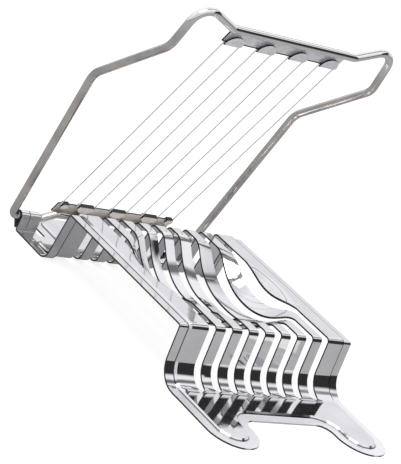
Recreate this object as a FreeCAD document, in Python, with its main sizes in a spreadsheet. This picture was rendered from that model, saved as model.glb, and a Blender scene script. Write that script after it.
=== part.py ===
import FreeCAD, Part
import math
import os

# Egg slicer: a stamped sheet base with a slotted egg cup, and a hinged wire bow that carries
# two comb plates with one cutting wire laced between them in eight spans.
# Frame: X across the base, Y from the front feet to the hinge, Z up, feet on Z = 0.

V = FreeCAD.Vector

# Driving dimensions in millimetres and degrees
SIZES = (
    ("plate_width", 70.0),
    ("plate_depth", 61.2),
    ("plate_height", 17.9),
    ("sheet_thickness", 0.5),
    ("field_rise", 0.7),
    ("step_angle", 45.0),
    ("border_width", 3.2),
    ("leg_splay", 6.0),
    ("top_bend_radius", 0.5),
    ("front_bend_radius", 8.0),
    ("rear_bend_radius", 3.5),
    ("front_foot_reach", 34.0),
    ("foot_width", 18.0),
    ("toe_gap_depth", 14.3),
    ("toe_gap_radius", 4.0),
    ("rear_foot_reach", 28.4),
    ("tongue_width", 50.2),
    ("tongue_corner_radius", 6.0),
    ("ear_width", 7.4),
    ("ear_notch_depth", 2.2),
    ("ear_bend_radius", 1.0),
    ("ear_tail_height", 0.8),
    ("hinge_setback", 19.6),
    ("hinge_height", 4.43),
    ("hinge_clearance", 0.08),
    ("cup_length", 53.8),
    ("cup_width", 48.0),
    ("cup_depth", 10.5),
    ("cup_wall_angle", 45.0),
    ("cup_bowl_radius", 22.0),
    ("cup_rim_radius", 6.0),
    ("cup_rim_slope", 3.0),
    ("slot_width", 3.0),
    ("slot_overrun", 7.0),
    ("wire_pitch", 6.6),
    ("wire_diameter", 0.4),
    ("wire_clearance", 0.05),
    ("bow_wire_diameter", 2.5),
    ("bow_angle", 114.0),
    ("bow_length", 93.6),
    ("bow_half_width", 42.0),
    ("arm_root", 37.7),
    ("knee_reach", 53.8),
    ("knee_rise", 11.6),
    ("shoulder_setback", 10.4),
    ("shoulder_drop", 1.4),
    ("horn_reach", 5.5),
    ("horn_half_width", 40.2),
    ("horn_rise", 1.8),
    ("front_bar_half", 25.3),
    ("bar_end_radius", 3.0),
    ("horn_radius", 5.5),
    ("shoulder_radius", 6.0),
    ("knee_radius", 8.0),
    ("arm_root_radius", 2.2),
    ("crank_radius", 2.4),
    ("rear_bar_reach", 3.0),
    ("rear_bar_half", 22.4),
    ("crank_start", 26.4),
    ("comb_half_width", 23.8),
    ("comb_thickness", 0.5),
    ("comb_overlap", 0.2),
    ("front_fold_gap", 7.3),
    ("rear_fold_gap", 4.6),
    ("tab_overhang", 0.35),
    ("end_tab_half", 1.2),
    ("tab_clearance", 0.4),
)
WIRE_COUNT = 8
# Shorter than this, two points are one
TINY = 1e-7

doc = FreeCAD.newDocument("egg_slicer")
sheet = doc.addObject("Spreadsheet::Sheet", "sizes")
for row, (alias, value) in enumerate(SIZES, start=1):
    sheet.set("A%d" % row, alias)
    sheet.set("B%d" % row, str(value))
    sheet.setAlias("B%d" % row, alias)
doc.recompute()


def size(alias):
    return float(sheet.get(alias))


half_width = size("plate_width") / 2
half_depth = size("plate_depth") / 2
skin = size("sheet_thickness")
rise = size("field_rise")
border = size("border_width")
bow_radius = size("bow_wire_diameter") / 2
wire_radius = size("wire_diameter") / 2
comb_skin = size("comb_thickness")

# Middle of the plate along Y: the whole base is centred on the origin
plate_y = (size("front_foot_reach") - size("rear_foot_reach")) / 2
hinge_y = plate_y + half_depth + size("hinge_setback")
hinge_z = size("hinge_height")
plate_top = size("plate_height")
wire_xs = [(i - (WIRE_COUNT - 1) / 2) * size("wire_pitch") for i in range(WIRE_COUNT)]


# Outlines: corners are (x, y, radius), and each radius becomes an arc tangent to both sides


def corner_arc(before, corner, after, radius):
    arrive = (corner - before).normalize()
    leave = (after - corner).normalize()
    turn = arrive.getAngle(leave)
    trim = radius * math.tan(turn / 2)
    start = corner - arrive * trim
    end = corner + leave * trim
    inward = (leave - arrive).normalize()
    middle = corner + inward * (radius / math.cos(turn / 2) - radius)
    return start, middle, end


def rounded_path(points, radii, closed=False):
    count = len(points)
    edges = []
    first = None
    last = None
    for i, point in enumerate(points):
        is_end = not closed and i in (0, count - 1)
        if is_end or radii[i] <= 0:
            start = end = point
            arc = None
        else:
            start, middle, end = corner_arc(points[i - 1], point, points[(i + 1) % count], radii[i])
            arc = Part.Arc(start, middle, end)
        if last is not None and (start - last).Length > TINY:
            edges.append(Part.LineSegment(last, start))
        if arc is not None:
            edges.append(arc)
        if first is None:
            first = start
        last = end
    if closed and (first - last).Length > TINY:
        edges.append(Part.LineSegment(last, first))
    return edges


def outline(corners, closed=True):
    points = [V(x, y, 0) for x, y, radius in corners]
    return rounded_path(points, [radius for x, y, radius in corners], closed)


def mirrored(corners):
    # A half outline at x > 0, closed by its mirror image
    return list(corners) + [(-x, y, radius) for x, y, radius in reversed(corners)]


def left_offset(corners, distance):
    # The same rounded polyline moved to its left side
    points = [V(x, y, 0) for x, y, radius in corners]
    moved = []
    for i, (x, y, radius) in enumerate(corners):
        sides = []
        if i > 0:
            sides.append((points[i] - points[i - 1]).normalize())
        if i < len(points) - 1:
            sides.append((points[i + 1] - points[i]).normalize())
        normals = [V(-side.y, side.x, 0) for side in sides]
        normal = (normals[0] + normals[-1]).normalize()
        shift = normal * (distance / normal.dot(normals[0]))
        turn = sides[0].cross(sides[-1]).z
        change = 0.0 if abs(turn) < TINY else math.copysign(distance, turn)
        moved.append((x + shift.x, y + shift.y, max(radius - change, 0.0)))
    return moved


def bent_strip(corners, thickness):
    # A sheet of even thickness on the left of its rounded centre path, as one closed outline
    far_side = left_offset(corners, thickness)
    return list(corners) + list(reversed(far_side))


# Document objects

ACROSS = FreeCAD.Rotation(V(1, 1, 1), 120)
UPRIGHT = FreeCAD.Rotation(V(1, 0, 0), 90)
FLAT = FreeCAD.Rotation()


def add_sketch(name, edges, base=V(0, 0, 0), rotation=FLAT):
    sketch = doc.addObject("Sketcher::SketchObject", name)
    for edge in edges:
        sketch.addGeometry(edge, False)
    sketch.Placement = FreeCAD.Placement(base, rotation)
    return sketch


def add_extrusion(name, sketch, direction, length, symmetric=False):
    # length is an expression in the sheet's aliases
    solid = doc.addObject("Part::Extrusion", name)
    solid.Base = sketch
    solid.DirMode = "Custom"
    solid.Dir = direction
    solid.Solid = True
    solid.Symmetric = symmetric
    solid.setExpression("LengthFwd", length)
    return solid


def add_sweep(name, spine, section):
    doc.recompute()
    sweep = doc.addObject("Part::Sweep", name)
    sweep.Sections = [section]
    sweep.Spine = (spine, ["Edge%d" % (i + 1) for i in range(len(spine.Shape.Edges))])
    sweep.Solid = True
    sweep.Frenet = False
    return sweep


def add_fuse(name, shapes):
    fuse = doc.addObject("Part::MultiFuse", name)
    fuse.Shapes = shapes
    return fuse


def add_cut(name, base, tool):
    cut = doc.addObject("Part::Cut", name)
    cut.Base = base
    cut.Tool = tool
    return cut


# Base strip: feet, legs and plate are one sheet with a raised middle field between its borders

path_rise = skin + rise
path_top = plate_top - path_rise
top_bend_y = half_depth - path_rise
foot_bend_y = top_bend_y + path_top * math.tan(math.radians(size("leg_splay")))
foot_turn = math.tan(math.radians(90 - size("leg_splay")) / 2)
front_join = plate_y - foot_bend_y - size("front_bend_radius") * foot_turn - skin
rear_join = plate_y + foot_bend_y + size("rear_bend_radius") * foot_turn + skin
strip_corners = [
    (front_join, 0, 0),
    (plate_y - foot_bend_y, 0, size("front_bend_radius")),
    (plate_y - top_bend_y, path_top, size("top_bend_radius")),
    (plate_y + top_bend_y, path_top, size("top_bend_radius")),
    (plate_y + foot_bend_y, 0, size("rear_bend_radius")),
    (rear_join, 0, 0),
]
strip_path = add_sketch("strip_path", outline(strip_corners, closed=False), rotation=ACROSS)

# The step between border and field slopes, and its underside is parallel to its top
step_angle = math.radians(size("step_angle"))
step_lean = 1 / math.tan(step_angle)
field_inset = border - skin * step_lean
hollow_inset = field_inset + skin / math.sin(step_angle)
field_edge = half_width - border
field_top = half_width - field_inset - path_rise * step_lean
hollow_edge = half_width - hollow_inset
hollow_top = hollow_edge - rise * step_lean
# A foot's sloped layers start this far inside the strip, so that they end where the strip does
field_root = path_rise * step_lean
hollow_root = field_root + skin
strip_outline = [
    (half_width, 0, 0),
    (half_width, skin, 0),
    (field_edge, skin, 0),
    (field_top, path_rise, 0),
    (-field_top, path_rise, 0),
    (-field_edge, skin, 0),
    (-half_width, skin, 0),
    (-half_width, 0, 0),
    (-hollow_edge, 0, 0),
    (-hollow_top, rise, 0),
    (hollow_top, rise, 0),
    (hollow_edge, 0, 0),
]
strip_section = add_sketch("strip_section", outline(strip_outline), V(0, front_join, 0), UPRIGHT)
strip = add_sweep("strip", strip_path, strip_section)

# Feet: a border level and a raised field level with the same outline moved inwards

toe_radius = size("foot_width") / 2
toe_tip = plate_y - half_depth - size("front_foot_reach")
gap_edge = toe_tip + size("toe_gap_depth")
toe_inner = half_width - size("foot_width")


def front_foot(inset, root):
    tip = toe_tip + inset
    radius = toe_radius - inset
    gap_radius = size("toe_gap_radius") + inset
    return mirrored([
        (toe_inner + inset, gap_edge + inset, gap_radius),
        (toe_inner + inset, tip, radius),
        (half_width - inset, tip, radius),
        (half_width - inset, root, 0),
    ])


tongue_half = size("tongue_width") / 2
tongue_end = plate_y + half_depth + size("rear_foot_reach")
pin_room = bow_radius + size("hinge_clearance")
ear_wall = hinge_y - pin_room
ear_root = ear_wall - size("ear_bend_radius")
notch_end = ear_root - size("ear_notch_depth")
ear_inner = half_width - size("ear_width")
notch_radius = (ear_inner - tongue_half) / 2


def rear_foot(root):
    return mirrored([
        (half_width, root, 0),
        (half_width, ear_root, 0),
        (ear_inner, ear_root, 0),
        (ear_inner, notch_end, notch_radius),
        (tongue_half, notch_end, notch_radius),
        (tongue_half, tongue_end, size("tongue_corner_radius")),
    ])


def rear_field(inset, root):
    shoulder = notch_end - inset
    return mirrored([
        (half_width - inset, root, 0),
        (half_width - inset, shoulder, inset),
        (tongue_half - inset, shoulder, inset),
        (tongue_half - inset, tongue_end - inset, size("tongue_corner_radius") - inset),
    ])


def foot_layers(name, border_outline, field_outline, hollow_outline):
    edge = add_extrusion(
        name + "_edge", add_sketch(name + "_edge_outline", outline(border_outline)),
        V(0, 0, 1), "sizes.sheet_thickness"
    )
    field = add_extrusion(
        name + "_field", add_sketch(name + "_field_outline", outline(field_outline)),
        V(0, 0, 1), "sizes.sheet_thickness + sizes.field_rise"
    )
    hollow = add_extrusion(
        name + "_hollow", add_sketch(name + "_hollow_outline", outline(hollow_outline)),
        V(0, 0, 1), "sizes.field_rise"
    )
    for sloped in (field, hollow):
        sloped.setExpression("TaperAngle", "sizes.step_angle - 90")
    return add_cut(name, add_fuse(name + "_sheet", [edge, field]), hollow)


front_feet = foot_layers(
    "front_feet",
    front_foot(0, front_join),
    front_foot(field_inset, front_join + field_root),
    front_foot(hollow_inset, front_join + hollow_root),
)
rear_feet = foot_layers(
    "rear_feet",
    rear_foot(rear_join),
    rear_field(field_inset, rear_join - field_root),
    rear_field(hollow_inset, rear_join - hollow_root),
)

# Ears: the rear corners turn up, roll over the bow's pins and tuck back in behind the wall

pin_top = hinge_z + pin_room
tail_y = hinge_y + pin_room
tail_bend = hinge_z - bow_radius / 2
ear_corners = [
    (ear_root, 0, 0),
    (ear_wall, 0, size("ear_bend_radius")),
    (ear_wall, pin_top, pin_room),
    (tail_y, pin_top, pin_room),
    (tail_y, tail_bend, bow_radius),
    (ear_wall + skin, size("ear_tail_height"), 0),
]
ears = []
for side, label in ((-1, "left"), (1, "right")):
    start_x = half_width if side > 0 else -ear_inner
    profile = add_sketch(
        label + "_ear_profile", outline(bent_strip(ear_corners, skin)), V(start_x, 0, 0), ACROSS
    )
    ears.append(add_extrusion(label + "_ear", profile, V(-1, 0, 0), "sizes.ear_width"))

# Egg cup: a bowl with a rolled rim, whose two round ends stand apart to the length of an egg

cup_half = size("cup_width") / 2
cup_depth = size("cup_depth")
cup_apart = (size("cup_length") - size("cup_width")) / 2
cup_wall = math.radians(size("cup_wall_angle"))
rim_slope = math.radians(size("cup_rim_slope"))
rim_run = size("cup_rim_radius") * math.tan((cup_wall - rim_slope) / 2) + skin
cup_profile = [
    (0, -cup_depth, 0),
    (cup_half - cup_depth / math.tan(cup_wall), -cup_depth, size("cup_bowl_radius")),
    (cup_half, 0, size("cup_rim_radius")),
    (cup_half + rim_run, rim_run * math.tan(rim_slope), 0),
]


def add_bowl(name, profile, lid):
    # The space above a profile: a straight middle and a half turn of the profile at each end
    corners = list(profile) + [(profile[-1][0], lid, 0), (0, lid, 0)]
    section = list(reversed(mirrored(corners[1:-1])))
    middle_sketch = add_sketch(name + "_section", outline(section), V(0, plate_y, plate_top), ACROSS)
    length = "sizes.cup_length - sizes.cup_width"
    bowl_parts = [add_extrusion(name + "_middle", middle_sketch, V(1, 0, 0), length, symmetric=True)]
    for side, label in ((-1, "left"), (1, "right")):
        half_turn = doc.addObject("Part::Revolution", "%s_%s" % (name, label))
        half_turn.Source = add_sketch("%s_%s_profile" % (name, label), outline(corners), rotation=ACROSS)
        half_turn.Axis = V(0, 0, -side)
        half_turn.Angle = 180
        half_turn.Solid = True
        half_turn.Placement.Base = V(side * cup_apart, plate_y, plate_top)
        bowl_parts.append(half_turn)
    return add_fuse(name, bowl_parts)


cup_space = add_bowl("cup_space", cup_profile, size("cup_rim_radius"))
cup_outside = add_bowl("cup_outside", left_offset(cup_profile, -skin), -skin / 2)

# Slots: one for each cutting wire, from the front bend over the cup to the rear bend

slot_half = size("slot_width") / 2
slot_front = plate_y - half_depth - size("slot_overrun")
slot_rear = plate_y + half_depth + size("slot_overrun")
slot_edges = []
for x in wire_xs:
    slot_edges += outline([
        (x - slot_half, slot_front, slot_half),
        (x + slot_half, slot_front, slot_half),
        (x + slot_half, slot_rear, slot_half),
        (x - slot_half, slot_rear, slot_half),
    ])
slot_sketch = add_sketch("slot_outlines", slot_edges)
slots = add_extrusion("slots", slot_sketch, V(0, 0, 1), "sizes.plate_height")

base_sheet = add_fuse("base_sheet", [strip, front_feet, rear_feet] + ears + [cup_outside])
open_cup = add_cut("open_cup", base_sheet, cup_space)
base = add_cut("base", open_cup, slots)

# Bow frame: X across, reach along the cutting wires from the hinge, lift square to both

bow_turn = FreeCAD.Rotation(V(1, 0, 0), size("bow_angle"))
# In the bow's own axes the reach runs along Y and the lift points to minus Z
BOW_PLACE = FreeCAD.Placement(V(0, hinge_y, hinge_z), bow_turn)


def bow_point(x, reach, lift):
    return V(x, reach, -lift)


bar_reach = size("bow_length")
horn_tip = bar_reach + size("horn_reach")
shoulder_reach = bar_reach - size("shoulder_setback")
arm_x = size("bow_half_width")
bow_corners = [
    (bow_point(0, bar_reach, 0), 0),
    (bow_point(size("front_bar_half"), bar_reach, 0), size("bar_end_radius")),
    (bow_point(size("horn_half_width"), horn_tip, size("horn_rise")), size("horn_radius")),
    (bow_point(arm_x, shoulder_reach, -size("shoulder_drop")), size("shoulder_radius")),
    (bow_point(arm_x, size("knee_reach"), size("knee_rise")), size("knee_radius")),
    (bow_point(size("arm_root"), 0, 0), size("arm_root_radius")),
    (bow_point(size("crank_start"), 0, 0), size("crank_radius")),
    (bow_point(size("rear_bar_half"), size("rear_bar_reach"), 0), size("crank_radius")),
    (bow_point(0, size("rear_bar_reach"), 0), 0),
]
bow_path = doc.addObject("Part::Feature", "bow_path")
bow_points = [point for point, radius in bow_corners]
bow_edges = rounded_path(bow_points, [radius for point, radius in bow_corners])
bow_path.Shape = Part.Wire([edge.toShape() for edge in bow_edges])
bow_section = doc.addObject("Part::Circle", "bow_section")
bow_section.setExpression("Radius", "sizes.bow_wire_diameter / 2")
bow_section.Placement = FreeCAD.Placement(bow_points[0], FreeCAD.Rotation(V(0, 1, 0), 90))
bow_half = add_sweep("bow_half", bow_path, bow_section)
bow_mirror = doc.addObject("Part::Mirroring", "bow_mirror")
bow_mirror.Source = bow_half
bow_mirror.Normal = V(1, 0, 0)
bow_frame = add_fuse("bow_frame", [bow_half, bow_mirror])
bow_frame.Placement = BOW_PLACE

# Comb plates lie on the bars, with half-round tabs folded over the cutting wire

plate_lift = bow_radius
fold_room = size("wire_diameter") + 2 * size("wire_clearance")
wire_lift = plate_lift - fold_room / 2
loop_radius = wire_radius + 2 * size("wire_clearance")
fold_half = size("wire_pitch") / 2 - loop_radius


def fold_centre(fold, towards):
    # Reach of the wire's run inside a fold, which the fold's inner face goes round
    return fold - towards * (comb_skin + fold_room / 2)


def add_comb(name, bar, fold, towards, tabs):
    # towards is the direction of the folded edge seen from the bar, +1 or -1 along the reach.
    # The tabs are half discs, or flatter where the bar leaves less room for them
    parts = []
    back = bar - towards * size("comb_overlap")
    turn = fold_centre(fold, towards)
    inside = turn + towards * fold_room / 2
    tab_room = abs(turn - bar) - bow_radius - size("tab_clearance")
    half = size("comb_half_width")
    plate_outline = outline([(-half, back, 0), (half, back, 0), (half, turn, 0), (-half, turn, 0)])
    plate_sketch = add_sketch(name + "_plate_outline", plate_outline, bow_point(0, 0, plate_lift))
    parts.append(add_extrusion(name + "_plate", plate_sketch, V(0, 0, -1), "sizes.comb_thickness"))
    loop = [
        (turn - towards * comb_skin, -plate_lift, 0),
        (inside, -plate_lift, fold_room / 2),
        (inside, -plate_lift + fold_room, fold_room / 2),
        (turn, -plate_lift + fold_room, 0),
    ]
    hook = outline(bent_strip(loop, -towards * comb_skin))
    for number, (centre, tab_half, fold_width) in enumerate(tabs, start=1):
        label = "%s_tab_%d" % (name, number)
        fold_sketch = add_sketch(label + "_fold_profile", hook, V(centre - tab_half, 0, 0), ACROSS)
        fold_solid = add_extrusion(label + "_fold", fold_sketch, V(1, 0, 0), fold_width)
        tab_radius = tab_half + size("tab_overhang")
        left = V(centre - tab_radius, turn, 0)
        right = V(centre + tab_radius, turn, 0)
        arc = Part.Arc(left, V(centre, turn - towards * min(tab_radius, tab_room), 0), right)
        tab_outline = [arc, Part.LineSegment(right, left)]
        tab_sketch = add_sketch(label + "_outline", tab_outline, bow_point(0, 0, plate_lift - fold_room))
        tab_solid = add_extrusion(label, tab_sketch, V(0, 0, 1), "sizes.comb_thickness")
        parts += [fold_solid, tab_solid]
    comb = add_fuse(name, parts)
    comb.Placement = BOW_PLACE
    return comb


front_fold = bar_reach - size("front_fold_gap")
rear_fold = size("rear_bar_reach") + size("rear_fold_gap")
front_pairs = [(wire_xs[i], wire_xs[i + 1]) for i in range(0, WIRE_COUNT, 2)]
rear_pairs = [(wire_xs[i], wire_xs[i + 1]) for i in range(1, WIRE_COUNT - 1, 2)]
end_tab_x = wire_xs[-1] - loop_radius - size("end_tab_half")
fold_width = "sizes.wire_pitch - sizes.wire_diameter - 4 * sizes.wire_clearance"
front_tabs = [((a + b) / 2, fold_half, fold_width) for a, b in front_pairs]
rear_tabs = [((a + b) / 2, fold_half, fold_width) for a, b in rear_pairs]
rear_tabs += [(x, size("end_tab_half"), "2 * sizes.end_tab_half") for x in (-end_tab_x, end_tab_x)]
front_comb = add_comb("front_comb", bar_reach, front_fold, -1, front_tabs)
rear_comb = add_comb("rear_comb", size("rear_bar_reach"), rear_fold, 1, rear_tabs)

# Cutting wire: eight straight spans, joined by the loops that lie in the folds

front_turn = fold_centre(front_fold, -1)
rear_turn = fold_centre(rear_fold, 1)
span_start = rear_turn + loop_radius
span_end = front_turn - loop_radius
spans = []
for number, x in enumerate(wire_xs, start=1):
    span = doc.addObject("Part::Cylinder", "cutting_wire_%d" % number)
    span.setExpression("Radius", "sizes.wire_diameter / 2")
    span.Height = span_end - span_start
    along = FreeCAD.Placement(bow_point(x, span_start, wire_lift), FreeCAD.Rotation(V(1, 0, 0), -90))
    span.Placement = BOW_PLACE.multiply(along)
    spans.append(span)


def add_loop(name, points):
    # The strand turns each corner sharply, within its own thickness
    path = doc.addObject("Part::Feature", name + "_path")
    path.Shape = Part.makePolygon(points)
    section = doc.addObject("Part::Circle", name + "_section")
    section.setExpression("Radius", "sizes.wire_diameter / 2")
    section.Placement = FreeCAD.Placement(points[0], FreeCAD.Rotation(V(1, 0, 0), 90))
    loop = add_sweep(name, path, section)
    loop.Transition = "Right corner"
    return loop


def add_loops(name, start, turn, pairs, ends):
    # Whole loops join two spans, and an end loop stops in the middle of its end tab
    loops = []
    for number, (a, b) in enumerate(pairs, start=1):
        corners = ((a, start), (a, turn), (b, turn), (b, start))
        points = [bow_point(x, reach, wire_lift) for x, reach in corners]
        loops.append(add_loop("%s_%d" % (name, number), points))
    for number, (x, stop) in enumerate(ends, start=1):
        corners = ((x, start), (x, turn), (stop, turn))
        points = [bow_point(across, reach, wire_lift) for across, reach in corners]
        loops.append(add_loop("%s_end_%d" % (name, number), points))
    group = doc.addObject("Part::Compound", name)
    group.Links = loops
    group.Placement = BOW_PLACE
    return group


rear_ends = [(wire_xs[0], -end_tab_x), (wire_xs[-1], end_tab_x)]
front_loops = add_loops("front_wire_loops", span_end, front_turn, front_pairs, [])
rear_loops = add_loops("rear_wire_loops", span_start, rear_turn, rear_pairs, rear_ends)

doc.recompute()
pieces = [base, bow_frame, front_comb, rear_comb, front_loops, rear_loops] + spans

problems = [item.Name for item in doc.Objects if {"Invalid", "Error"} & set(item.State)]
if problems:
    raise RuntimeError("objects that failed: " + ", ".join(problems))
os.makedirs("parts", exist_ok=True)
for piece in pieces:
    shape = piece.Shape
    if shape.isNull() or not shape.isValid():
        raise RuntimeError("bad shape: " + piece.Label)
    print(piece.Label, len(shape.Solids), round(shape.Volume, 2))
    shape.exportStep("parts/%s.step" % piece.Label)
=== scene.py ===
# %% [markdown]
# An egg slicer of polished sheet metal: a stamped base with a slotted egg cup, and a wire bow
# that carries thin cutting wires between two comb plates. The solids come from the packed
# part and are never moved; this lesson dresses them and lights them like a studio shot.

# %% Load the solids
import math

import bmesh
import bpy
from mathutils import Matrix, Vector

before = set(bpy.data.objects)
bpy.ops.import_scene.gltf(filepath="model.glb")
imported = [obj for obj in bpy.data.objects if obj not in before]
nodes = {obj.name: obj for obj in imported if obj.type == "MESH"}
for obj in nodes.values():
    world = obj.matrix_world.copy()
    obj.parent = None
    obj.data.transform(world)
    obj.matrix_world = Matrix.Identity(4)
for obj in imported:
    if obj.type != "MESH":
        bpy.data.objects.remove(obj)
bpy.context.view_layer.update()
scene = bpy.context.scene

# %% [markdown]
# The camera stands low in front of the left foot and is rolled, so the slicer seems to slide
# down to the right. The plate's sides converge only slightly, which tells of a long lens at
# some distance. Lens, place and directions are written out.

# %% Camera at the picture's viewpoint
IMAGE_LONG_SIDE = 464
FOCAL_PIXELS = 2201.34
SENSOR_MM = 36.0
CLIP_RANGE = (0.02, 20.0)
CAMERA_RIGHT = Vector((0.7191147, -0.5499125, 0.4248178))
CAMERA_UP = Vector((-0.1064798, 0.5169227, 0.8493839))
CAMERA_BACK = Vector((-0.6866848, -0.6560390, 0.3131721))
CAMERA_PLACE = Vector((-0.450446, -0.414819, 0.231118))
camera_data = bpy.data.cameras.new("camera")
camera = bpy.data.objects.new("camera", camera_data)
scene.collection.objects.link(camera)
scene.camera = camera
camera_data.sensor_width = SENSOR_MM
camera_data.lens = FOCAL_PIXELS / IMAGE_LONG_SIDE * SENSOR_MM
camera_data.clip_start, camera_data.clip_end = CLIP_RANGE
camera_axes = Matrix((CAMERA_RIGHT, CAMERA_UP, CAMERA_BACK)).transposed()
camera.matrix_world = Matrix.Translation(CAMERA_PLACE) @ camera_axes.to_4x4()
print("lens in mm:", round(camera_data.lens, 1))

# %% [markdown]
# Finishes and room are trees of nodes, and the same few nodes come back in all of them. Each
# function here adds them, feeds them with values or with the outputs of other nodes, and gives
# back an output, so that the steps below read like sums.


# %% Functions that add nodes
def feed(tree, value, socket):
    if hasattr(value, "is_output"):
        tree.links.new(value, socket)
    else:
        socket.default_value = value


def math_node(tree, operation, first, second=0.0):
    node = tree.nodes.new("ShaderNodeMath")
    node.operation = operation
    feed(tree, first, node.inputs[0])
    feed(tree, second, node.inputs[1])
    return node.outputs[0]


def absolute(tree, value):
    return math_node(tree, "ABSOLUTE", value)


def between(tree, value, low, high):
    above = math_node(tree, "GREATER_THAN", value, low)
    return math_node(tree, "MULTIPLY", above, math_node(tree, "LESS_THAN", value, high))


def map_range(tree, value, source, target):
    node = tree.nodes.new("ShaderNodeMapRange")
    labels = ("Value", "From Min", "From Max", "To Min", "To Max")
    for label, entry in zip(labels, (value, *source, *target)):
        feed(tree, entry, node.inputs[label])
    return node.outputs["Result"]


def blend(tree, factor, old, new, kind):
    node = tree.nodes.new("ShaderNodeMix")
    node.data_type = kind
    socket_type = "VALUE" if kind == "FLOAT" else kind
    first, second = [socket for socket in node.inputs if socket.type == socket_type][-2:]
    feed(tree, factor, node.inputs["Factor"])
    feed(tree, old, first)
    feed(tree, new, second)
    return next(socket for socket in node.outputs if socket.type == socket_type)


def overlay(tree, label, mask, value):
    # Puts a new value over what already feeds the shader, where the mask is 1
    socket = tree.nodes["Principled BSDF"].inputs[label]
    kind = "RGBA" if socket.type == "RGBA" else "FLOAT"
    tree.links.new(blend(tree, mask, socket.links[0].from_socket, value, kind), socket)


def noise(tree, vector, scale, detail, roughness=0.5):
    node = tree.nodes.new("ShaderNodeTexNoise")
    feed(tree, vector, node.inputs["Vector"])
    feed(tree, scale, node.inputs["Scale"])
    feed(tree, detail, node.inputs["Detail"])
    feed(tree, roughness, node.inputs["Roughness"])
    return node.outputs["Fac"]


def parts(tree, vector):
    node = tree.nodes.new("ShaderNodeSeparateXYZ")
    feed(tree, vector, node.inputs["Vector"])
    return node.outputs


def along(tree, vector, direction):
    node = tree.nodes.new("ShaderNodeVectorMath")
    node.operation = "DOT_PRODUCT"
    feed(tree, vector, node.inputs[0])
    feed(tree, direction, node.inputs[1])
    return node.outputs["Value"]


print("functions ready")

# %% [markdown]
# Every finish here is bright metal, and bright metal shows its history as haze: faint cloudy
# patches where polishing was lighter. One node group makes that haze from noise in the piece's
# own coordinates, and each finish sets how rough the clear and the cloudy spots are.

# %% Shared haze of polished metal
CLOUD_DETAIL, CLOUD_ROUGHNESS = 5.0, 0.6
CLOUD_RANGE = (0.35, 0.7)


def new_group(name, inputs, outputs):
    group = bpy.data.node_groups.new(name, "ShaderNodeTree")
    for label, default in inputs:
        socket = group.interface.new_socket(label, in_out="INPUT", socket_type="NodeSocketFloat")
        socket.default_value = default
    for label in outputs:
        group.interface.new_socket(label, in_out="OUTPUT", socket_type="NodeSocketFloat")
    entry = group.nodes.new("NodeGroupInput")
    leave = group.nodes.new("NodeGroupOutput")
    return group, entry.outputs, leave.inputs


haze, given, result = new_group(
    "polishing haze", [("Scale", 200.0), ("Clear", 0.05), ("Cloudy", 0.15)], ["Roughness"]
)
position = haze.nodes.new("ShaderNodeTexCoord").outputs["Object"]
clouds = noise(haze, position, given["Scale"], CLOUD_DETAIL, CLOUD_ROUGHNESS)
cloudiness = map_range(haze, clouds, CLOUD_RANGE, (given["Clear"], given["Cloudy"]))
haze.links.new(cloudiness, result["Roughness"])
print("group:", haze.name)

# %% [markdown]
# Thin sheet that has been pressed and bent is never quite flat. Slow waves a centimetre long
# bend the reflections, and fine lines from the rolling mill run along one direction.
# Both are heights for a Bump node; a second group keeps them together.

# %% Shared waves and rolling lines
WAVE_DETAIL, LINE_DETAIL = 1.0, 2.0
LINE_STRETCH = (1.0, 0.04, 1.0)
relief, given, result = new_group(
    "sheet relief",
    [("Wave Scale", 80.0), ("Wave Height", 1.0), ("Line Scale", 900.0), ("Line Height", 0.1)],
    ["Height"],
)
position = relief.nodes.new("ShaderNodeTexCoord").outputs["Object"]
stretch = relief.nodes.new("ShaderNodeMapping")
stretch.inputs["Scale"].default_value = LINE_STRETCH
relief.links.new(position, stretch.inputs["Vector"])
waves = noise(relief, position, given["Wave Scale"], WAVE_DETAIL)
lines = noise(relief, stretch.outputs["Vector"], given["Line Scale"], LINE_DETAIL)
wave_part = math_node(relief, "MULTIPLY", waves, given["Wave Height"])
line_part = math_node(relief, "MULTIPLY", lines, given["Line Height"])
relief.links.new(math_node(relief, "ADD", wave_part, line_part), result["Height"])
print("group:", relief.name)

# %% [markdown]
# A metal finish is two close tones, a haze and a relief. The tones matter more than their size
# suggests: the sheet leans to lavender, the bow wire to warm grey and the rear comb to cream.
# The Principled shader stays in the material, with its metal set on its own socket.

# %% Metal finishes
TONE_DETAIL = 3.0
TONE_RANGE = (0.38, 0.62)


def use_group(tree, group, values):
    node = tree.nodes.new("ShaderNodeGroup")
    node.node_tree = group
    for socket, value in zip(node.inputs, values):
        socket.default_value = value
    return node.outputs[0]


def metal(name, light, dark, tone_scale, haze_values, relief_values, bump_distance, bare=1.0):
    # Haze values are in the order of the haze group's inputs, and relief values likewise
    material = bpy.data.materials.new(name)
    material.use_nodes = True
    tree = material.node_tree
    shader = tree.nodes["Principled BSDF"]
    shader.inputs["Metallic"].default_value = bare
    position = tree.nodes.new("ShaderNodeTexCoord").outputs["Object"]
    ramp = tree.nodes.new("ShaderNodeValToRGB")
    for element, level, tone in zip(ramp.color_ramp.elements, TONE_RANGE, (dark, light)):
        element.position = level
        element.color = (*tone, 1.0)
    tree.links.new(noise(tree, position, tone_scale, TONE_DETAIL), ramp.inputs["Fac"])
    tree.links.new(ramp.outputs["Color"], shader.inputs["Base Color"])
    tree.links.new(use_group(tree, haze, haze_values), shader.inputs["Roughness"])
    bump = tree.nodes.new("ShaderNodeBump")
    bump.inputs["Strength"].default_value = 1.0
    bump.inputs["Distance"].default_value = bump_distance
    tree.links.new(use_group(tree, relief, relief_values), bump.inputs["Height"])
    tree.links.new(bump.outputs["Normal"], shader.inputs["Normal"])
    return material


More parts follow.
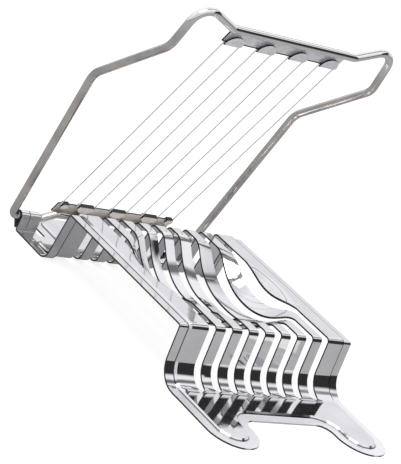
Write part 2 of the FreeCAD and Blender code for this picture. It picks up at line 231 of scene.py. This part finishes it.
finishes = {
    "polished_sheet": metal(
        "polished sheet", (0.86, 0.855, 0.88), (0.80, 0.795, 0.82), 90.0,
        (260.0, 0.03, 0.10), (70.0, 1.0, 900.0, 0.01), 0.0002,
    ),
    "bow_wire": metal(
        "drawn bow wire", (0.66, 0.635, 0.61), (0.53, 0.505, 0.485), 160.0,
        (500.0, 0.04, 0.11), (220.0, 0.5, 1500.0, 0.05), 0.00002,
    ),
    "front_comb": metal(
        "rolled comb strip", (0.98, 0.97, 1.0), (0.86, 0.85, 0.90), 500.0,
        (900.0, 0.34, 0.5), (300.0, 0.3, 2600.0, 0.3), 0.00006, bare=0.6,
    ),
    "rear_comb": metal(
        "warm comb strip", (1.0, 0.95, 0.89), (0.90, 0.82, 0.76), 420.0,
        (900.0, 0.3, 0.5), (260.0, 0.3, 2600.0, 0.3), 0.00006, bare=0.35,
    ),
    "cutting_wire": metal(
        "cutting wire", (0.90, 0.90, 0.91), (0.80, 0.80, 0.81), 700.0,
        (900.0, 0.35, 0.5), (400.0, 0.3, 3000.0, 0.1), 0.00003, bare=0.6,
    ),
}
print("finishes:", ", ".join(finishes))

# %% [markdown]
# A stamped sheet is polished on its faces only. Its sheared edges stay dull, and their dark
# colour is partly painted shade, which outlines every rib and slot. Thin lines of painted shade
# run along the foot of the step around the field and along the top of the right step. The front
# walls of the rolled ears, behind the rear leg, are darker and duller. All of these are found
# from the normal and the place of a point in the piece's own axes.

# %% Dull edges and painted shade on the sheet
# Sheared edges: dull metal, made near black with painted shade
EDGE_AND_SHADE_COLOUR = (0.07, 0.068, 0.072, 1.0)
STEP_SHADE_COLOUR = (0.2, 0.197, 0.205, 1.0)
EAR_COLOUR = (0.55, 0.535, 0.53, 1.0)
EDGE_ROUGHNESS = 0.35
UPRIGHT_BELOW, SIDEWAYS_ABOVE = 0.03, 0.12
STEP_FOOT = (0.03165, 0.03200)
RIGHT_STEP_TOP = (0.03085, 0.03115)
STEP_SLOPE = (0.55, 0.85)
FOOT_STEP_HEIGHT = 0.0008
FOOT_FIELD_HEIGHT = 0.0013
EARS_FROM = 0.045
FRONTAL_BELOW = -0.8
sheet = finishes["polished_sheet"].node_tree
coordinates = sheet.nodes.new("ShaderNodeTexCoord").outputs
normal = parts(sheet, coordinates["Normal"])
place = parts(sheet, coordinates["Object"])
upright = math_node(sheet, "LESS_THAN", absolute(sheet, normal["Z"]), UPRIGHT_BELOW)
sideways = math_node(sheet, "GREATER_THAN", absolute(sheet, normal["X"]), SIDEWAYS_ABOVE)
dull_and_shaded_edges = math_node(sheet, "MULTIPLY", upright, sideways)
# Painted shade lines along the foot of the steps and along the top of the right step
step_foot = between(sheet, absolute(sheet, place["X"]), *STEP_FOOT)
right_step_top = between(sheet, place["X"], *RIGHT_STEP_TOP)
step_lines = math_node(sheet, "MAXIMUM", step_foot, right_step_top)
above_feet = math_node(sheet, "GREATER_THAN", place["Z"], FOOT_FIELD_HEIGHT)
side_step = math_node(sheet, "MULTIPLY", step_lines, above_feet)
low = math_node(sheet, "LESS_THAN", place["Z"], FOOT_STEP_HEIGHT)
foot_step = math_node(sheet, "MULTIPLY", low, between(sheet, normal["Z"], *STEP_SLOPE))
step = math_node(sheet, "MAXIMUM", side_step, foot_step)
# Front walls of the rolled ears near the hinge are made darker and duller
to_front = math_node(sheet, "LESS_THAN", normal["Y"], FRONTAL_BELOW)
at_hinge = math_node(sheet, "GREATER_THAN", place["Y"], EARS_FROM)
ear_wall = math_node(sheet, "MULTIPLY", to_front, at_hinge)
# Painted shade on the sheared edges and on the step lines, and a darker tone on the ear walls
for mask, tone in ((ear_wall, EAR_COLOUR), (step, STEP_SHADE_COLOUR), (dull_and_shaded_edges, EDGE_AND_SHADE_COLOUR)):
    overlay(sheet, "Base Color", mask, tone)
for mask in (ear_wall, dull_and_shaded_edges):
    overlay(sheet, "Roughness", mask, EDGE_ROUGHNESS)
print("dull edges on:", finishes["polished_sheet"].name)

# %% [markdown]
# The low borders of the front feet mirror nothing clearly. They get a satin finish, beside the
# brightly polished field that rises inside them, and a paler colour as a painted highlight, so
# they look pale all round.

# %% Satin borders of the front feet, with a painted highlight
BORDER_HIGHLIGHT_COLOUR = (0.96, 0.955, 0.98, 1.0)
BORDER_ROUGHNESS = 0.5
BORDER_TOP = 0.0007
FRONT_FEET_TO = -0.03
LEVEL_ABOVE = 0.9
level = math_node(sheet, "GREATER_THAN", normal["Z"], LEVEL_ABOVE)
lowest = math_node(sheet, "LESS_THAN", place["Z"], BORDER_TOP)
in_front = math_node(sheet, "LESS_THAN", place["Y"], FRONT_FEET_TO)
low_border = math_node(sheet, "MULTIPLY", level, lowest)
foot_border = math_node(sheet, "MULTIPLY", low_border, in_front)
# Painted highlight: a paler colour on the borders
overlay(sheet, "Base Color", foot_border, BORDER_HIGHLIGHT_COLOUR)
overlay(sheet, "Roughness", foot_border, BORDER_ROUGHNESS)
print("satin borders on:", finishes["polished_sheet"].name)

# %% [markdown]
# The combs are cut from strip as well. Their faces look along one direction of the bow, square
# to its wires, so any face that looks across that direction is a cut edge. These are painted near
# black, as shade in the gaps around the tabs, and a narrow line of painted shade runs just above
# the lower edge of the front strip.

# %% Painted shade on the edges of the combs
BOW_LEAN = math.radians(114.0)
FACE_DIRECTION = (0.0, math.sin(BOW_LEAN), -math.cos(BOW_LEAN))
REACH_DIRECTION = (0.0, math.cos(BOW_LEAN), math.sin(BOW_LEAN))
COMB_EDGE_SHADE_COLOUR = (0.015, 0.015, 0.017, 1.0)
ACROSS_BELOW = 0.15
FRONT_STRIP_EDGE = (0.06940, 0.07000)
FRONT_STRIP_BEHIND_TABS = 0.0512
for name in ("front_comb", "rear_comb"):
    strip = finishes[name].node_tree
    coordinates = strip.nodes.new("ShaderNodeTexCoord").outputs
    facing = along(strip, coordinates["Normal"], FACE_DIRECTION)
    cut = math_node(strip, "LESS_THAN", absolute(strip, facing), ACROSS_BELOW)
    if name == "front_comb":
        reach = along(strip, coordinates["Object"], REACH_DIRECTION)
        depth = along(strip, coordinates["Object"], FACE_DIRECTION)
        behind = math_node(strip, "GREATER_THAN", depth, FRONT_STRIP_BEHIND_TABS)
        edge_shade_line = math_node(strip, "MULTIPLY", behind, between(strip, reach, *FRONT_STRIP_EDGE))
        cut = math_node(strip, "MAXIMUM", cut, edge_shade_line)
    # Painted shade on the cut edges around the tabs and along the lower edge of the front strip
    overlay(strip, "Base Color", cut, COMB_EDGE_SHADE_COLOUR)
print("dark edges on: front_comb, rear_comb")

# %% [markdown]
# The bow is drawn wire, grey along its arms. Its upper end, where it is pushed down, grows
# brighter towards the horns and the front bar, and a painted highlight makes it brightest on its
# top.

# %% Brighter end of the bow, with a painted highlight on top
TOP_HIGHLIGHT_COLOUR = (0.93, 0.92, 0.91, 1.0)
BAR_COLOUR = (0.8, 0.79, 0.8, 1.0)
BRIGHT_HEIGHTS = (0.072, 0.088)
BAR_HEIGHTS = (0.084, 0.089)
TOP_NORMALS = (-0.05, 0.3)
MOST_BLEND = 0.95
TOP_ROUGHNESS = 0.06
wire = finishes["bow_wire"].node_tree
coordinates = wire.nodes.new("ShaderNodeTexCoord").outputs
place = parts(wire, coordinates["Object"])
normal = parts(wire, coordinates["Normal"])
near_bar = map_range(wire, place["Z"], BRIGHT_HEIGHTS, (0.0, MOST_BLEND))
on_top = map_range(wire, normal["Z"], TOP_NORMALS, (0.0, 1.0))
top_highlight = math_node(wire, "MULTIPLY", near_bar, on_top)
at_bar = map_range(wire, place["Z"], BAR_HEIGHTS, (0.0, MOST_BLEND))
overlay(wire, "Base Color", at_bar, BAR_COLOUR)
# Painted highlight on the top of the wire near the bar
overlay(wire, "Base Color", top_highlight, TOP_HIGHLIGHT_COLOUR)
overlay(wire, "Roughness", top_highlight, TOP_ROUGHNESS)
print("bright end on:", finishes["bow_wire"].name)

# %% [markdown]
# The solids already have the right shape, so each only takes its finish. The loops that lie in
# the folds are the same strand as the straight spans and share its finish.

# %% Dress the solids
FINISH_NAMES = {
    "base": "polished_sheet",
    "bow_frame": "bow_wire",
    "front_comb": "front_comb",
    "rear_comb": "rear_comb",
}
for name, solid in nodes.items():
    solid.data.materials.clear()
    solid.data.materials.append(finishes[FINISH_NAMES.get(name, "cutting_wire")])
print("dressed:", ", ".join(sorted(nodes)))

# %% [markdown]
# The stage is a pale round floor. The Light Path node lifts it to white for the camera, while
# the metal mirrors the grey paper itself, darker where the slicer keeps light away from it.

# %% Floor
FLOOR_RADIUS = 0.5
FLOOR_SIDES = 96
PAPER_TONE = 0.32
GLOW_FOR_CAMERA = 0.8
GLOW_IN_METAL = 0.115
WHITE = (1.0, 1.0, 1.0, 1.0)


def ray_kinds(tree):
    path = tree.nodes.new("ShaderNodeLightPath").outputs
    mirror = math_node(tree, "MAXIMUM", path["Is Glossy Ray"], path["Is Transmission Ray"])
    return path["Is Camera Ray"], mirror


mesh = bpy.data.meshes.new("floor")
shape = bmesh.new()
bmesh.ops.create_circle(shape, cap_ends=True, segments=FLOOR_SIDES, radius=FLOOR_RADIUS)
shape.to_mesh(mesh)
shape.free()
floor = bpy.data.objects.new("floor", mesh)
scene.collection.objects.link(floor)
paper = bpy.data.materials.new("studio paper")
paper.use_nodes = True
tree = paper.node_tree
tree.nodes.clear()
matt = tree.nodes.new("ShaderNodeBsdfDiffuse")
matt.inputs["Color"].default_value = (PAPER_TONE, PAPER_TONE, PAPER_TONE, 1.0)
glow = tree.nodes.new("ShaderNodeEmission")
glow.inputs["Color"].default_value = WHITE
camera_ray, mirror_ray = ray_kinds(tree)
camera_part = math_node(tree, "MULTIPLY", camera_ray, GLOW_FOR_CAMERA)
mirror_part = math_node(tree, "MULTIPLY", mirror_ray, GLOW_IN_METAL)
tree.links.new(math_node(tree, "ADD", camera_part, mirror_part), glow.inputs["Strength"])
both = tree.nodes.new("ShaderNodeAddShader")
tree.links.new(matt.outputs[0], both.inputs[0])
tree.links.new(glow.outputs[0], both.inputs[1])
output = tree.nodes.new("ShaderNodeOutputMaterial")
tree.links.new(both.outputs[0], output.inputs["Surface"])
floor.data.materials.append(paper)
print("floor radius in mm:", FLOOR_RADIUS * 1000)

# %% [markdown]
# Polished metal is only as good as what it mirrors. Behind the slicer the room is a white wall
# that grows brighter upwards. In front of it the wall is pale grey, up to the height of a soft
# box, with one dark strip on the right. The sheet is bent about one direction only, so legs and
# feet mirror no more than that strip, and it draws their black bands. Where rear wall and soft
# box meet overhead there is a dim seam, which leaves grey patches in the cup. The camera itself
# sees plain white, and the paper is lit evenly from all sides.

# %% Room
EVEN_LIGHT = (0.9, 0.9, 0.9, 1.0)
BLUE_LIFT = 1.02
# Bands are pairs of height, from -1 straight down to 1 straight up, and brightness
SOFT_BOX = [(0.65, 0.95), (0.84, 1.0), (1.0, 0.7)]
DARK_STRIP = [(-1.0, 0.3), (-0.02, 0.3), (0.0, 0.03), (0.58, 0.03)] + SOFT_BOX
FRONT_WALL = [(-1.0, 0.3), (-0.02, 0.3), (0.0, 0.7), (0.52, 0.7)] + SOFT_BOX
REAR_WALL = [
    (-1.0, 0.35), (-0.02, 0.45), (0.06, 0.80), (0.32, 0.86), (0.52, 1.0), (0.84, 1.0), (1.0, 0.7),
]
STRIP_MIDDLE, STRIP_FADE = 0.69, (0.13, 0.22)
REAR_FADE = (-0.18, 0.06)
SEAM_MIDDLE, SEAM_FADE = -0.01, (0.06, 0.17)
SEAM_HEIGHTS = (0.60, 0.70)
SEAM_DIMMING = 0.82


def height_bands(tree, height, bands):
    ramp = tree.nodes.new("ShaderNodeValToRGB")
    while len(ramp.color_ramp.elements) < len(bands):
        ramp.color_ramp.elements.new(0.5)
    for element, (level, value) in zip(ramp.color_ramp.elements, bands):
        element.position = (level + 1) / 2
        element.color = (value, value, value * BLUE_LIFT, 1.0)
    tree.links.new(map_range(tree, height, (-1.0, 1.0), (0.0, 1.0)), ramp.inputs["Fac"])
    return ramp.outputs["Color"]


def near(tree, value, middle, fade):
    off = absolute(tree, math_node(tree, "SUBTRACT", value, middle))
    return map_range(tree, off, fade, (1.0, 0.0))


world = bpy.data.worlds.new("studio room")
scene.world = world
world.use_nodes = True
tree = world.node_tree
tree.nodes.clear()
direction = parts(tree, tree.nodes.new("ShaderNodeTexCoord").outputs["Generated"])
rear_wall = height_bands(tree, direction["Z"], REAR_WALL)
dark_strip = height_bands(tree, direction["Z"], DARK_STRIP)
front_wall = height_bands(tree, direction["Z"], FRONT_WALL)
in_strip = near(tree, direction["X"], STRIP_MIDDLE, STRIP_FADE)
camera_side = blend(tree, in_strip, front_wall, dark_strip, "RGBA")
at_rear = map_range(tree, direction["Y"], REAR_FADE, (0.0, 1.0))
walls = blend(tree, at_rear, camera_side, rear_wall, "RGBA")
in_seam = near(tree, direction["Y"], SEAM_MIDDLE, SEAM_FADE)
overhead = map_range(tree, direction["Z"], SEAM_HEIGHTS, (0.0, 1.0))
seam = math_node(tree, "MULTIPLY", in_seam, overhead)
dimming = math_node(tree, "MULTIPLY", seam, SEAM_DIMMING)
dimmed = tree.nodes.new("ShaderNodeVectorMath")
dimmed.operation = "SCALE"
tree.links.new(walls, dimmed.inputs[0])
tree.links.new(math_node(tree, "SUBTRACT", 1.0, dimming), dimmed.inputs["Scale"])
camera_ray, mirror_ray = ray_kinds(tree)
for_metal = blend(tree, mirror_ray, EVEN_LIGHT, dimmed.outputs["Vector"], "RGBA")
background = tree.nodes.new("ShaderNodeBackground")
tree.links.new(blend(tree, camera_ray, for_metal, WHITE, "RGBA"), background.inputs["Color"])
output = tree.nodes.new("ShaderNodeOutputWorld")
tree.links.new(background.outputs["Background"], output.inputs["Surface"])
print("room bands:", len(REAR_WALL) + len(DARK_STRIP) + len(FRONT_WALL))

# %% [markdown]
# One wide soft box above the left shoulder gives the floor a gentle shadow. It is weak, because
# the room already lights everything and pale metal must not clip.

# %% Soft box
LAMP_WIDTH, LAMP_HEIGHT = 0.7, 0.5
LAMP_WATTS = 3.0
LAMP_PLACE = Vector((-0.35, -0.1, 0.9))


def area_light(name, width, height, watts, location, facing):
    data = bpy.data.lights.new(name, "AREA")
    data.shape = "RECTANGLE"
    data.size, data.size_y = width, height
    data.energy = watts
    light = bpy.data.objects.new(name, data)
    scene.collection.objects.link(light)
    light.location = location
    light.rotation_mode = "QUATERNION"
    light.rotation_quaternion = facing.to_track_quat("-Z", "Y")
    return light


area_light("soft box", LAMP_WIDTH, LAMP_HEIGHT, LAMP_WATTS, LAMP_PLACE, -LAMP_PLACE)
print("soft box energy in watts:", LAMP_WATTS)

# %% [markdown]
# The right foot mirrors the room's dark strip, and the front leg would mirror that dark foot
# again. A small pale card just outside the foot fills it; the camera doesn't see the card.

# %% Card at the right foot
CARD_WIDTH, CARD_HEIGHT = 0.028, 0.008
CARD_BRIGHTNESS = 0.4
CARD_WATTS = CARD_BRIGHTNESS * math.pi * CARD_WIDTH * CARD_HEIGHT
CARD_PLACE = Vector((0.042, -0.073, 0.0055))
CARD_FACING = Vector((-0.687, 0.707, -0.17))
card = area_light("card", CARD_WIDTH, CARD_HEIGHT, CARD_WATTS, CARD_PLACE, CARD_FACING)
card.visible_camera = False
print("card in mm:", CARD_WIDTH * 1000, "by", CARD_HEIGHT * 1000)

# %% [markdown]
# Standard view keeps the written colours.

# %% Close the scene
scene.view_settings.view_transform = "Standard"
